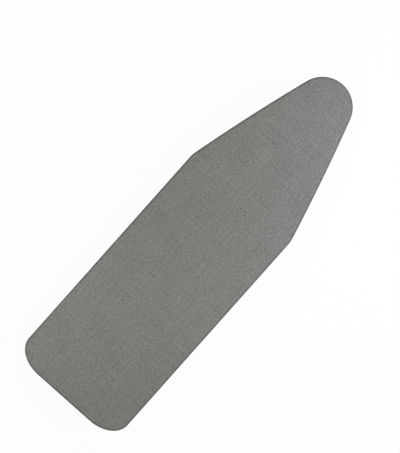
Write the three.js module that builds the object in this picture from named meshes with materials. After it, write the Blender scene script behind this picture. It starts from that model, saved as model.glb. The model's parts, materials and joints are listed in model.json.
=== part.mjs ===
// Ironing board cover in the shape it takes when it is pulled over a board, with its straps done up.
// Millimetres. +X runs from the tail to the nose, +Z is the ironing side, z = 0 is the lowest strap face.
import * as THREE from 'three';

// Flat cut of the face fabric, and the margin of it that goes round the board edge and under
const CUT_LENGTH = 1300;
const CUT_WIDTH = 500;
const TURN_ALLOWANCE = 67;

// Outline of the fitted cover, seen from above: straight sides, then a shoulder, a slightly bowed taper
// and a round nose
const SHOULDER_FROM_TAIL = 731;
const SHOULDER_RADIUS = 100;
const TAPER_RADIUS = 5680;
const NOSE_RADIUS = 84.5;
const TAIL_CORNER_LENGTH = 60;
const TAIL_CORNER_WIDTH = 87;
const TIGHTEST_HEM_TURN = 8;

// Layers, from the face down
const FABRIC_THICKNESS = 0.8;
const FOAM_THICKNESS = 3;
const FELT_THICKNESS = 4;
const LAYER_GAP = 0.3;

// Fitted edge
const POCKET_DEPTH = 22;
const TOP_EDGE_RADIUS = 10;
const BOTTOM_EDGE_RADIUS = 8;

// Gathers of the margin that is turned under, where the outline curves
const FOLD_HEIGHT = 4;
const FOLDS_PER_CORNER = 4;
const FOLDS_ROUND_NOSE = 10;

// Hem: a tape folded over the fabric edge, with a flat elastic in the fold
const TAPE_THICKNESS = 0.6;
const TAPE_LAP = 8;
const ELASTIC_WIDTH = 8;
const ELASTIC_THICKNESS = 1.2;

// Straps across the underside, each closed by a hook patch against a loop patch
const STRAP_PLACES = ['tail', 'middle', 'nose'];
const FIRST_STRAP_FROM_TAIL = 143;
const STRAP_PITCH = 270;
const STRAP_WIDTH = 25;
const STRAP_THICKNESS = 1;
const STRAP_TIP_RADIUS = 5;
const SEWN_END_LENGTH = 14;
const HINGE_CLEARANCE = 0.2;
const PATCH_LENGTH = 45;
const PATCH_BORDER = 2;
const PATCH_THICKNESS = 0.8;
const TAB_STEP_LENGTH = 4;
const TAB_STEP_TO_STRAP_TIP = 3;
const TAB_TIP_BORDER = 8;

// Colours and finishes
const CLOTH = { color: 0x7e7e7b, roughness: 0.8 };
const FOAM = { color: 0xe9e4d2, roughness: 0.9 };
const FELT = { color: 0xd9d6cf, roughness: 0.95 };
const TAPE = { color: 0x5c5d5c, roughness: 0.85 };
const ELASTIC = { color: 0xf2f1ec, roughness: 0.8 };
const WEBBING = { color: 0x2b2c2e, roughness: 0.8 };
const HOOKS = { color: 0x1d1e20, roughness: 0.7 };
const LOOPS = { color: 0x1d1e20, roughness: 0.95 };

// Points used along each stretch of the outline, for one half of the cover
const TAIL_STEPS = 2;
const SIDE_STEPS = 7;
const SHOULDER_STEPS = 3;
const TAPER_STEPS = 4;
const EDGE_ARC_STEPS = 2;
const TIP_ARC_STEPS = 4;

// Sizes that follow
const LENGTH = CUT_LENGTH - 2 * TURN_ALLOWANCE;
const HALF_WIDTH = CUT_WIDTH / 2 - TURN_ALLOWANCE;
const TAIL_X = -LENGTH / 2;
const NOSE_X = LENGTH / 2;

const HEM_SLOT = Math.max(FABRIC_THICKNESS, ELASTIC_THICKNESS) + 2 * LAYER_GAP;
const HEM_HEIGHT = HEM_SLOT + 2 * TAPE_THICKNESS;
const HEM_BOTTOM = STRAP_THICKNESS + LAYER_GAP;
const HEM_MIDDLE = HEM_BOTTOM + HEM_HEIGHT / 2;
const HEM_TOP = HEM_BOTTOM + HEM_HEIGHT;
const FELT_BOTTOM = HEM_TOP + POCKET_DEPTH;
const FOAM_BOTTOM = FELT_BOTTOM + FELT_THICKNESS + LAYER_GAP;
const FACE_TOP = FOAM_BOTTOM + FOAM_THICKNESS + LAYER_GAP + FABRIC_THICKNESS;
const TURN_BOTTOM = HEM_MIDDLE - FABRIC_THICKNESS / 2;

// The turned-under width is what the allowance leaves after the two rounded edges and the side
const EDGE_ARCS = (TOP_EDGE_RADIUS + BOTTOM_EDGE_RADIUS - FABRIC_THICKNESS) * Math.PI / 2;
const SIDE_HEIGHT = FACE_TOP - TURN_BOTTOM - TOP_EDGE_RADIUS - BOTTOM_EDGE_RADIUS;
const FABRIC_EDGE = TURN_ALLOWANCE + TOP_EDGE_RADIUS + BOTTOM_EDGE_RADIUS - EDGE_ARCS - SIDE_HEIGHT;
const HEM_MOUTH = FABRIC_EDGE - TAPE_LAP;
const ELASTIC_OUTER = FABRIC_EDGE + LAYER_GAP;
const ELASTIC_INNER = ELASTIC_OUTER + ELASTIC_WIDTH;
const HEM_FOLD = ELASTIC_INNER + LAYER_GAP + TAPE_THICKNESS;

// Places across the cover that the straps share, and the heights of the two patches and the tab
const MOUTH_HALF = HALF_WIDTH - HEM_FOLD;
const HINGE_Y = -MOUTH_HALF + STRAP_THICKNESS / 2 + HINGE_CLEARANCE;
const TAB_BEND_Y = MOUTH_HALF - STRAP_THICKNESS - HINGE_CLEARANCE;
const TAB_LEVEL_Y = TAB_BEND_Y - TAB_STEP_LENGTH;
const STRAP_TIP_Y = TAB_LEVEL_Y - TAB_STEP_TO_STRAP_TIP;
const PATCH_FAR_Y = STRAP_TIP_Y - STRAP_TIP_RADIUS;
const PATCH_NEAR_Y = PATCH_FAR_Y - PATCH_LENGTH;
const TAB_TIP_Y = PATCH_NEAR_Y - TAB_TIP_BORDER;
const HOOK_BOTTOM = STRAP_THICKNESS + LAYER_GAP;
const LOOP_BOTTOM = HOOK_BOTTOM + PATCH_THICKNESS + LAYER_GAP;
const TAB_LIFT = LOOP_BOTTOM + PATCH_THICKNESS + LAYER_GAP;

// Centre of a large arc that two smaller ones touch from inside, given how far each centre is from it
function touchingCentre(first, firstReach, second, secondReach) {
  const way = second.clone().sub(first);
  const apart = way.length();
  const along = (firstReach ** 2 - secondReach ** 2 + apart ** 2) / (2 * apart);
  const aside = Math.sqrt(firstReach ** 2 - along ** 2);
  way.normalize();
  return new THREE.Vector2(
    first.x + along * way.x - aside * way.y, first.y + along * way.y + aside * way.x);
}

// The three arcs from the nose to the side, and the directions in which the taper's arc meets its neighbours
const NOSE_CENTRE = new THREE.Vector2(NOSE_X - NOSE_RADIUS, 0);
const SHOULDER_CENTRE = new THREE.Vector2(TAIL_X + SHOULDER_FROM_TAIL, HALF_WIDTH - SHOULDER_RADIUS);
const TAPER_CENTRE = touchingCentre(
  NOSE_CENTRE, TAPER_RADIUS - NOSE_RADIUS, SHOULDER_CENTRE, TAPER_RADIUS - SHOULDER_RADIUS);
const NOSE_END = NOSE_CENTRE.clone().sub(TAPER_CENTRE).angle();
const TAPER_END = SHOULDER_CENTRE.clone().sub(TAPER_CENTRE).angle();

function arcOf(centre, radius, start, end) {
  const inner = Math.max(radius, TIGHTEST_HEM_TURN);
  return new THREE.EllipseCurve(centre.x, centre.y, inner, inner, start, end);
}

// One side of the outline, nose to tail, drawn in from the fitted edge by an inset
function sideCurves(inset) {
  const half = HALF_WIDTH - inset;
  const tail = TAIL_X + inset;
  const cornerX = Math.max(TAIL_CORNER_LENGTH - inset, TIGHTEST_HEM_TURN);
  const cornerY = Math.max(TAIL_CORNER_WIDTH - inset, TIGHTEST_HEM_TURN);
  return [
    { curve: arcOf(NOSE_CENTRE, NOSE_RADIUS - inset, 0, NOSE_END), folds: FOLDS_ROUND_NOSE / 2 },
    { curve: arcOf(TAPER_CENTRE, TAPER_RADIUS - inset, NOSE_END, TAPER_END), steps: TAPER_STEPS },
    {
      curve: arcOf(SHOULDER_CENTRE, SHOULDER_RADIUS - inset, TAPER_END, Math.PI / 2),
      steps: SHOULDER_STEPS,
    },
    {
      curve: new THREE.LineCurve(
        new THREE.Vector2(SHOULDER_CENTRE.x, half), new THREE.Vector2(tail + cornerX, half)),
      steps: SIDE_STEPS,
    },
    {
      curve: new THREE.EllipseCurve(
        tail + cornerX, half - cornerY, cornerX, cornerY, Math.PI / 2, Math.PI),
      folds: FOLDS_PER_CORNER,
    },
    {
      curve: new THREE.LineCurve(
        new THREE.Vector2(tail, half - cornerY), new THREE.Vector2(tail, 0)),
      steps: TAIL_STEPS,
    },
  ];
}

// A closed ring round the whole outline; lift raises every second point where the hem is gathered
function outlineRing(inset, z, lift = 0) {
  const side = [];
  for (const { curve, steps, folds } of sideCurves(inset)) {
    const count = folds ? 2 * folds : steps;
    for (let step = 0; step < count; step += 1) {
      const point = curve.getPoint(step / count);
      const crest = folds && step % 2 === 1 ? lift : 0;
      side.push(new THREE.Vector3(point.x, point.y, z + crest));
    }
  }
  const tailPoint = new THREE.Vector3(TAIL_X + inset, 0, z);
  const otherSide = side.slice(1).reverse().map((p) => new THREE.Vector3(p.x, -p.y, p.z));
  return [...side, tailPoint, ...otherSide];
}

// Skins a list of rings, top or outer ring first; the ends are capped, or joined when it closes
function skinRings(rings, closes) {
  const count = rings[0].length;
  const positions = rings.flat().flatMap((p) => [p.x, p.y, p.z]);
  const index = [];
  const spans = closes ? rings.length : rings.length - 1;
  for (let ring = 0; ring < spans; ring += 1) {
    const upper = ring * count;
    const lower = ((ring + 1) % rings.length) * count;
    for (let i = 0; i < count; i += 1) {
      const next = (i + 1) % count;
      index.push(upper + i, lower + i, lower + next);
      index.push(upper + i, lower + next, upper + next);
    }
  }
  if (!closes) {
    const first = rings[0].map((p) => new THREE.Vector2(p.x, p.y));
    const last = rings.at(-1).map((p) => new THREE.Vector2(p.x, p.y));
    const lastStart = (rings.length - 1) * count;
    for (const [a, b, c] of THREE.ShapeUtils.triangulateShape(first, [])) {
      index.push(a, b, c);
    }
    for (const [a, b, c] of THREE.ShapeUtils.triangulateShape(last, [])) {
      index.push(lastStart + a, lastStart + c, lastStart + b);
    }
  }
  const geometry = new THREE.BufferGeometry();
  geometry.setAttribute('position', new THREE.Float32BufferAttribute(positions, 3));
  geometry.setIndex(index);
  geometry.computeVertexNormals();
  return geometry;
}

// Section of the rounded top edge at a depth into the cloth, from the flat top down to the side
function topEdgeSection(depth) {
  const radius = TOP_EDGE_RADIUS - depth;
  const section = [];
  for (let step = 0; step <= EDGE_ARC_STEPS; step += 1) {
    const turn = (step / EDGE_ARC_STEPS) * Math.PI / 2;
    const inset = TOP_EDGE_RADIUS - radius * Math.sin(turn);
    const z = FACE_TOP - TOP_EDGE_RADIUS + radius * Math.cos(turn);
    section.push([inset, z]);
  }
  return section;
}

// Section of the rounded bottom edge at a depth into the cloth, from the side to the turned-under margin
function bottomEdgeSection(depth) {
  const radius = BOTTOM_EDGE_RADIUS - depth;
  const section = [];
  for (let step = 0; step <= EDGE_ARC_STEPS; step += 1) {
    const turn = (step / EDGE_ARC_STEPS) * Math.PI / 2;
    const inset = BOTTOM_EDGE_RADIUS - radius * Math.cos(turn);
    const z = TURN_BOTTOM + BOTTOM_EDGE_RADIUS - radius * Math.sin(turn);
    section.push([inset, z]);
  }
  return section;
}

// Rings of one side of the face fabric, from the flat top round to its hemmed edge
function fabricRings(depth) {
  const edges = [...topEdgeSection(depth), ...bottomEdgeSection(depth)];
  const turned = TURN_BOTTOM + depth;
  return [
    ...edges.map(([inset, z]) => outlineRing(inset, z)),
    outlineRing((BOTTOM_EDGE_RADIUS + HEM_MOUTH) / 2, turned, FOLD_HEIGHT),
    outlineRing(HEM_MOUTH - LAYER_GAP, turned),
    outlineRing(FABRIC_EDGE, turned),
  ];
}

function faceFabric() {
  return skinRings([...fabricRings(0), ...fabricRings(FABRIC_THICKNESS).reverse()], false);
}

// Inset that keeps a pad clear of the fabric's rounded edge at a height
function padInset(z) {
  const section = topEdgeSection(FABRIC_THICKNESS);
  const below = section.findIndex(([, height]) => height <= z);
  if (below < 0) {
    return FABRIC_THICKNESS + LAYER_GAP;
  }
  const [upperInset, upperZ] = section[below - 1];
  const [lowerInset, lowerZ] = section[below];
  const share = (z - lowerZ) / (upperZ - lowerZ);
  return lowerInset + share * (upperInset - lowerInset) + LAYER_GAP;
}

function padLayer(bottom, thickness) {
  const heights = [bottom + thickness, bottom + thickness / 2, bottom];
  return skinRings(heights.map((z) => outlineRing(padInset(z), z)), false);
}

// Tape with a U section that opens outward, so the fabric edge and the elastic lie between its leaves
function hemBinding() {
  const lowerLeaf = HEM_BOTTOM + TAPE_THICKNESS;
  const upperLeaf = HEM_TOP - TAPE_THICKNESS;
  const slotEnd = HEM_FOLD - TAPE_THICKNESS;
  const section = [
    [HEM_MOUTH, HEM_TOP],
    [HEM_MOUTH, upperLeaf],
    [slotEnd, upperLeaf],
    [slotEnd, lowerLeaf],
    [HEM_MOUTH, lowerLeaf],
    [HEM_MOUTH, HEM_BOTTOM],
    [slotEnd, HEM_BOTTOM],
    [HEM_FOLD, lowerLeaf],
    [HEM_FOLD, upperLeaf],
    [slotEnd, HEM_TOP],
  ];
  return skinRings(section.map(([inset, z]) => outlineRing(inset, z)), true);
}

function edgeElastic() {
  const top = HEM_MIDDLE + ELASTIC_THICKNESS / 2;
  const bottom = HEM_MIDDLE - ELASTIC_THICKNESS / 2;
  const section = [
    [ELASTIC_OUTER, top],
    [ELASTIC_OUTER, bottom],
    [ELASTIC_INNER, bottom],
    [ELASTIC_INNER, top],
  ];
  return skinRings(section.map(([inset, z]) => outlineRing(inset, z)), true);
}

// A flat band across the cover, centred on x = 0, with the corners of its far end rounded if asked
function flatBand(width, nearY, farY, bottom, thickness, tipRadius = 0) {
  const half = width / 2;
  const shape = new THREE.Shape();
  shape.moveTo(-half, nearY);
  shape.lineTo(half, nearY);
  if (tipRadius > 0) {
    shape.absarc(half - tipRadius, farY - tipRadius, tipRadius, 0, Math.PI / 2, false);
    shape.absarc(-half + tipRadius, farY - tipRadius, tipRadius, Math.PI / 2, Math.PI, false);
  } else {
    shape.lineTo(half, farY);
    shape.lineTo(-half, farY);
  }
  const options = { depth: thickness, bevelEnabled: false, curveSegments: TIP_ARC_STEPS };
  return new THREE.ExtrudeGeometry(shape, options).translate(0, 0, bottom);
}

// The loop tab is sewn under the hem and steps up to lie over the end of the strap
function loopTab() {
  const outerY = MOUTH_HALF + SEWN_END_LENGTH;
  const tabTop = TAB_LIFT + STRAP_THICKNESS;
  const mitre = STRAP_THICKNESS * Math.tan(Math.atan2(TAB_LIFT, TAB_STEP_LENGTH) / 2);
  const side = new THREE.Shape([
    new THREE.Vector2(outerY, 0),
    new THREE.Vector2(outerY, STRAP_THICKNESS),
    new THREE.Vector2(TAB_BEND_Y + mitre, STRAP_THICKNESS),
    new THREE.Vector2(TAB_LEVEL_Y + mitre, tabTop),
    new THREE.Vector2(TAB_TIP_Y, tabTop),
    new THREE.Vector2(TAB_TIP_Y, TAB_LIFT),
    new THREE.Vector2(TAB_LEVEL_Y, TAB_LIFT),
    new THREE.Vector2(TAB_BEND_Y, 0),
  ]);
  const tab = new THREE.ExtrudeGeometry(side, { depth: STRAP_WIDTH, bevelEnabled: false });
  return tab.rotateX(Math.PI / 2).rotateZ(Math.PI / 2).translate(-STRAP_WIDTH / 2, 0, 0);
}

function sewnEnd() {
  return flatBand(STRAP_WIDTH, -MOUTH_HALF - SEWN_END_LENGTH, -MOUTH_HALF, 0, STRAP_THICKNESS);
}

function strapWebbing() {
  return flatBand(STRAP_WIDTH, HINGE_Y, STRAP_TIP_Y, 0, STRAP_THICKNESS, STRAP_TIP_RADIUS);
}

function patch(bottom) {
  return flatBand(STRAP_WIDTH - 2 * PATCH_BORDER, PATCH_NEAR_Y, PATCH_FAR_Y, bottom, PATCH_THICKNESS);
}

const cover = new THREE.Group();
cover.name = 'ironing_board_cover';

function addPiece(name, geometry, finish, x = 0) {
  const mesh = new THREE.Mesh(geometry, new THREE.MeshStandardMaterial({ ...finish, metalness: 0 }));
  mesh.name = name;
  mesh.position.x = x;
  cover.add(mesh);
}

addPiece('face_fabric', faceFabric(), CLOTH);
addPiece('foam_layer', padLayer(FOAM_BOTTOM, FOAM_THICKNESS), FOAM);
addPiece('felt_pad', padLayer(FELT_BOTTOM, FELT_THICKNESS), FELT);
addPiece('hem_binding', hemBinding(), TAPE);
addPiece('edge_elastic', edgeElastic(), ELASTIC);

STRAP_PLACES.forEach((place, i) => {
  const x = TAIL_X + FIRST_STRAP_FROM_TAIL + i * STRAP_PITCH;
  addPiece(`strap_${place}_sewn_end`, sewnEnd(), WEBBING, x);
  addPiece(`strap_${place}_webbing`, strapWebbing(), WEBBING, x);
  addPiece(`strap_${place}_hook_patch`, patch(HOOK_BOTTOM), HOOKS, x);
  addPiece(`strap_${place}_loop_tab`, loopTab(), WEBBING, x);
  addPiece(`strap_${place}_loop_patch`, patch(LOOP_BOTTOM), LOOPS, x);
});

export default cover;
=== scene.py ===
"""The looks of a padded ironing board cover with its straps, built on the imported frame. Metres."""

import json
import math

import bmesh
import bpy
import numpy as np
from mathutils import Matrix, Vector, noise
from mathutils.geometry import delaunay_2d_cdt


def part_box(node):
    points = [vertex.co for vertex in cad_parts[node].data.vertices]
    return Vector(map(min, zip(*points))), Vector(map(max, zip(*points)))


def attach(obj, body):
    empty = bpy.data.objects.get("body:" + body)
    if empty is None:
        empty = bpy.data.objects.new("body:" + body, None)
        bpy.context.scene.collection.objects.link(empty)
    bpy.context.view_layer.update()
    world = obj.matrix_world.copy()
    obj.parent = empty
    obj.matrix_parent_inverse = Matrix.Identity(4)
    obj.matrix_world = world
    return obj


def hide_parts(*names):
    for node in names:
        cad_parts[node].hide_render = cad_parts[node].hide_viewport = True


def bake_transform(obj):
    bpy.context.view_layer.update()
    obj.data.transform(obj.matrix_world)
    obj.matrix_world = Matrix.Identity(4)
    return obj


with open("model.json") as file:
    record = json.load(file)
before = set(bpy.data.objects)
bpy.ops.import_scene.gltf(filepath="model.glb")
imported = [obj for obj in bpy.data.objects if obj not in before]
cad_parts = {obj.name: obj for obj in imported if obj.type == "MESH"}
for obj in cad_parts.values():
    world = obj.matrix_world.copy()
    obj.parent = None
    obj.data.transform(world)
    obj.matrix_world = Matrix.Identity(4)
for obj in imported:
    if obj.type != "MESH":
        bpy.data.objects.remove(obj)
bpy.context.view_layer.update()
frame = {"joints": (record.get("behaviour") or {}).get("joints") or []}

MM = 0.001
SEED = 7
RANDOM = np.random.default_rng(SEED)
UP, DOWN = (0, 0, 1), (0, 0, -1)
SQUARE = ((-1, -1), (1, -1), (1, 1), (-1, 1))

# Sizes that the frame holds
FACE_LOW, FACE_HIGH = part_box("face_fabric")
FELT_LOW, FELT_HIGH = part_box("felt_pad")
FOAM_LOW, FOAM_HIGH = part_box("foam_layer")
HEM_LOW, HEM_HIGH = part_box("hem_binding")
ELASTIC_LOW, ELASTIC_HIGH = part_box("edge_elastic")
TAIL_X, NOSE_X = FACE_LOW.x, FACE_HIGH.x
HALF_WIDTH = FACE_HIGH.y
FACE_TOP = FACE_HIGH.z
TURN_BOTTOM = FACE_LOW.z
HEM_MOUTH = HALF_WIDTH - HEM_HIGH.y
ELASTIC_OUTER = HALF_WIDTH - ELASTIC_HIGH.y

# Sizes of the outline, the cut and the hem that the frame's boxes don't give
CUT_SIZE = (0.5, 1.3)
TURN_ALLOWANCE = CUT_SIZE[1] / 2 - NOSE_X
SHOULDER_FROM_TAIL = 731 * MM
SHOULDER_RADIUS = 100 * MM
TAPER_RADIUS = 5680 * MM
NOSE_RADIUS = 84.5 * MM
TAIL_CORNER = (60 * MM, 87 * MM)
TIGHTEST_TURN = 8 * MM
CLOTH_THICKNESS = 0.8 * MM
BOTTOM_EDGE_RADIUS = 8 * MM
TAPE_THICKNESS = 0.6 * MM
TAPE_LAP = 8 * MM
ELASTIC_WIDTH = 8 * MM
LAYER_GAP = 0.3 * MM
FABRIC_EDGE = HEM_MOUTH + TAPE_LAP
HEM_FOLD = ELASTIC_OUTER + ELASTIC_WIDTH + LAYER_GAP + TAPE_THICKNESS


def touching_centre(first, first_reach, second, second_reach):
    """Centre of a large arc that two smaller ones touch from inside."""
    way = np.subtract(second, first)
    apart = np.linalg.norm(way)
    along = (first_reach ** 2 - second_reach ** 2 + apart ** 2) / (2 * apart)
    aside = math.sqrt(first_reach ** 2 - along ** 2)
    way /= apart
    return np.array(first) + along * way + aside * np.array([-way[1], way[0]])


NOSE_CENTRE = np.array([NOSE_X - NOSE_RADIUS, 0])
SHOULDER_CENTRE = np.array([TAIL_X + SHOULDER_FROM_TAIL, HALF_WIDTH - SHOULDER_RADIUS])
TAPER_CENTRE = touching_centre(
    NOSE_CENTRE, TAPER_RADIUS - NOSE_RADIUS, SHOULDER_CENTRE, TAPER_RADIUS - SHOULDER_RADIUS)
NOSE_END = math.atan2(*(NOSE_CENTRE - TAPER_CENTRE)[::-1])
TAPER_END = math.atan2(*(SHOULDER_CENTRE - TAPER_CENTRE)[::-1])

# Stations along one side of the outline: nose, taper, shoulder, side, tail corner, tail
STATIONS = (100, 108, 10, 176, 80, 24)


def arc(centre, radii, start, end, count):
    """Points on an elliptical arc, without its last one."""
    angle = start + (end - start) * np.arange(count) / count
    return np.stack([centre[0] + radii[0] * np.cos(angle), centre[1] + radii[1] * np.sin(angle)], 1)


def line(start, end, count):
    """Points on a line, without its last one."""
    share = np.arange(count)[:, None] / count
    return np.array(start) * (1 - share) + np.array(end) * share


def ring(inset):
    """The outline drawn in by inset, as x and y, from the nose tip over +Y to the tail and back."""
    half = HALF_WIDTH - inset
    tail = TAIL_X + inset
    corner = [max(size - inset, TIGHTEST_TURN) for size in TAIL_CORNER]
    nose, taper, shoulder = (
        max(radius - inset, TIGHTEST_TURN) for radius in (NOSE_RADIUS, TAPER_RADIUS, SHOULDER_RADIUS))
    side = np.concatenate([
        arc(NOSE_CENTRE, (nose, nose), 0, NOSE_END, STATIONS[0]),
        arc(TAPER_CENTRE, (taper, taper), NOSE_END, TAPER_END, STATIONS[1]),
        arc(SHOULDER_CENTRE, (shoulder, shoulder), TAPER_END, math.pi / 2, STATIONS[2]),
        line((SHOULDER_CENTRE[0], half), (tail + corner[0], half), STATIONS[3]),
        arc((tail + corner[0], half - corner[1]), corner, math.pi / 2, math.pi, STATIONS[4]),
        line((tail, half - corner[1]), (tail, 0), STATIONS[5]),
    ])
    other = side[:0:-1] * (1, -1)
    return np.concatenate([side, [(tail, 0)], other])


RING_COUNT = len(ring(0))
BELL_REACH = 3


def steps(points):
    """Distance from each point of a closed ring to the next."""
    return np.linalg.norm(np.roll(points, -1, 0) - points, axis=1)


def smooth_step(low, high, value):
    """0 at low and 1 at high, with a soft start and end."""
    share = np.clip((value - low) / (high - low), 0, 1)
    return share * share * (3 - 2 * share)


def smoothed(values, width):
    """A closed run of values, averaged over a bell of this many stations."""
    shifts = np.arange(-BELL_REACH * width, BELL_REACH * width + 1)
    bell = np.exp(-0.5 * (shifts / width) ** 2)
    total = sum(weight * np.roll(values, shift) for shift, weight in zip(shifts, bell))
    return total / bell.sum()


def along_ring(points):
    """Unit direction along a closed ring at each of its points."""
    way = np.roll(points, -1, 0) - np.roll(points, 1, 0)
    return way / np.linalg.norm(way, axis=1)[:, None]


def at_height(points, z):
    """Points of x and y with a height added."""
    return np.column_stack([points, np.broadcast_to(z, len(points))])


# Gathers: round ridges of cloth with a crease between two of them, deepest where the outline curves most
STRAIGHT_PITCH = 24 * MM
CURVE_PITCH = 9 * MM
STRAIGHT_DEPTH = 1.4 * MM
CURVE_DEPTH = 5.2 * MM
PULL_SOFTNESS = 6
NOSE_SPARE = (NOSE_RADIUS + TURN_ALLOWANCE) / (NOSE_RADIUS - HEM_MOUTH) - 1

# How uneven the gathers are: their creases and crests, their height, and how far they climb and lean
CREASE_SHARPNESS = 0.55
CREASE_JITTER = 0.3
CREST_PLACES = (0.38, 0.62)
CREASE_HEIGHTS = (0.78, 1.0)
CLIMBS = (0.1, 1.0)
MOST_LEAN = 0.5

# Shares of a gather's depth that are left on the side and in the hem, which is stiffer
SIDE_SHARE = 0.4
HEM_SHARE = 0.38
HEM_SOFTNESS = 2
HEM_HOLD = 6 * MM


def between_creases(values, fold, share):
    """A value of each crease, carried over evenly to the next one."""
    return values[fold] * (1 - share) + np.roll(values, -1)[fold] * share


def gathers():
    """For each station: depth of the gathers, share of it on the side, lean of the creases."""
    fitted = steps(ring(HEM_MOUTH))
    spare = steps(ring(-TURN_ALLOWANCE)) / fitted - 1
    pull = smoothed(np.clip(spare / NOSE_SPARE, 0, 1), PULL_SOFTNESS)
    pitch = STRAIGHT_PITCH + (CURVE_PITCH - STRAIGHT_PITCH) * pull
    turns = np.concatenate([[0], np.cumsum(fitted / pitch)])
    count = round(turns[-1])
    turns = turns[:-1] * count / turns[-1]
    creases = np.arange(count + 1) + CREASE_JITTER * RANDOM.uniform(-1, 1, count + 1)
    creases[[0, -1]] = 0, count
    fold = np.searchsorted(creases, turns, "right") - 1
    share = (turns - creases[fold]) / np.diff(creases)[fold]
    crest = RANDOM.uniform(*CREST_PLACES, count)[fold]
    rise = np.where(share < crest, 0.5 * share / crest, 1 - 0.5 * (1 - share) / (1 - crest))
    crease = 1 - np.sin(math.pi * rise) ** CREASE_SHARPNESS
    depth = STRAIGHT_DEPTH + (CURVE_DEPTH - STRAIGHT_DEPTH) * pull
    height = between_creases(RANDOM.uniform(*CREASE_HEIGHTS, count), fold, share)
    climb = between_creases(RANDOM.uniform(*CLIMBS, count), fold, share)
    lean = between_creases(RANDOM.uniform(-MOST_LEAN, MOST_LEAN, count), fold, share)
    return depth * height * crease, SIDE_SHARE * climb, lean * pull


GATHER, GATHER_CLIMB, GATHER_LEAN = gathers()
HEM_RIPPLE = HEM_SHARE * smoothed(GATHER, HEM_SOFTNESS)

# Shared by the materials: gloss, the scale for one wave in each step, and a Mix node's colour sockets
FIBRE_GLOSS = 0.3
WAVE_SCALE = math.pi / 10
MIX_FIRST, MIX_SECOND, MIX_RESULT = 6, 7, 2


def material(name, base, roughness, sheen=0.0, gloss=FIBRE_GLOSS):
    """A new material, its node tree and its shader."""
    made = bpy.data.materials.new(name)
    made.use_nodes = True
    tree = made.node_tree
    shader = tree.nodes["Principled BSDF"]
    shader.inputs["Base Color"].default_value = (*base, 1)
    shader.inputs["Roughness"].default_value = roughness
    shader.inputs["Sheen Weight"].default_value = sheen
    shader.inputs["Specular IOR Level"].default_value = gloss
    return made, tree, shader


def cut_place(tree):
    """Where a point of the cloth lay when it was cut."""
    made = tree.nodes.new("ShaderNodeAttribute")
    made.attribute_name = "cut"
    return made.outputs["Vector"]


def object_place(tree):
    """Where a point lies in its object."""
    return tree.nodes.new("ShaderNodeTexCoord").outputs["Object"]


def scaled(tree, vector, size, shift=(0, 0, 0)):
    """The vector measured in steps of size, moved by shift."""
    made = tree.nodes.new("ShaderNodeVectorMath")
    made.operation = "MULTIPLY_ADD"
    tree.links.new(vector, made.inputs[0])
    made.inputs[1].default_value = [1 / s for s in size]
    made.inputs[2].default_value = shift
    return made.outputs["Vector"]


def cloud(tree, vector, detail=2.0, roughness=0.5, curl=0.0):
    """Noise with a period of about one step of the vector, in curls if asked."""
    made = tree.nodes.new("ShaderNodeTexNoise")
    made.inputs["Scale"].default_value = 1
    made.inputs["Detail"].default_value = detail
    made.inputs["Roughness"].default_value = roughness
    made.inputs["Distortion"].default_value = curl
    tree.links.new(vector, made.inputs["Vector"])
    return made.outputs["Fac"]


def bands(tree, vector, axis):
    """A sine wave along one axis, one wave for each step of the vector."""
    made = tree.nodes.new("ShaderNodeTexWave")
    made.wave_type = "BANDS"
    made.bands_direction = axis
    made.wave_profile = "SIN"
    made.inputs["Scale"].default_value = WAVE_SCALE
    tree.links.new(vector, made.inputs["Vector"])
    return made.outputs["Fac"]


def math_node(tree, operation, first, second):
    """One operation on two values, each a number or another node's output."""
    made = tree.nodes.new("ShaderNodeMath")
    made.operation = operation
    for socket, value in zip(made.inputs, (first, second)):
        if isinstance(value, (int, float)):
            socket.default_value = value
        else:
            tree.links.new(value, socket)
    return made.outputs[0]


def spread(tree, value, low, high):
    """value from low to high, stretched to 0 to 1."""
    made = tree.nodes.new("ShaderNodeMapRange")
    made.inputs["From Min"].default_value = low
    made.inputs["From Max"].default_value = high
    tree.links.new(value, made.inputs["Value"])
    return made.outputs["Result"]


def mixed(tree, share, first, second):
    """A colour between two others, each a tone or another node's output."""
    made = tree.nodes.new("ShaderNodeMix")
    made.data_type = "RGBA"
    tree.links.new(share, made.inputs["Factor"])
    for place, colour in ((MIX_FIRST, first), (MIX_SECOND, second)):
        if isinstance(colour, bpy.types.NodeSocket):
            tree.links.new(colour, made.inputs[place])
        else:
            made.inputs[place].default_value = (*colour, 1)
    return made.outputs[MIX_RESULT]


def tint(tree, shader, share, colour, contrast):
    """Base colour between a darker and a lighter tone of a colour."""
    tones = [[c * size for c in colour] for size in (1 - contrast, 1 + contrast)]
    made = mixed(tree, share, *tones)
    tree.links.new(made, shader.inputs["Base Color"])
    return made


def bump(tree, shader, height, distance, strength):
    """Fine relief of a surface."""
    made = tree.nodes.new("ShaderNodeBump")
    made.inputs["Strength"].default_value = strength
    made.inputs["Distance"].default_value = distance
    tree.links.new(height, made.inputs["Height"])
    tree.links.new(made.outputs["Normal"], shader.inputs["Normal"])


# Face cloth: yarns, slubs and threads have a length, a width and a shift, which only moves their noise
CLOTH_COLOUR = (0.212, 0.2175, 0.1982)
CLOTH_CONTRAST = 0.56
CLOTH_SPREAD = 0.6
YARN = (7 * MM, 2.2 * MM, (40, 11, 3))
SLUB = (110 * MM, 2.2 * MM, (7, 3, 5))
SLUB_SHARE = 0.5
THREAD = (5 * MM, 0.5 * MM, (13, 5, 9))
THREAD_SHARE = 0.35
TONE_SIZE = 70 * MM
TONE_SHIFT = (3, 6, 1)
TONE_SHARE = 0.13
WEAVE_PITCH = 1.0 * MM
# Share of the weave in the colour and the relief; in the colour it is painted shade, darker in the gaps
# between threads
WEAVE_AND_GAP_SHADE_SHARE = 0.35

# Averages of a pair of clouds, of one cloud, and of two waves that cross
YARN_MEAN, CLOUD_MEAN, WEAVE_MEAN = 1, 0.5, 0.25


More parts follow.
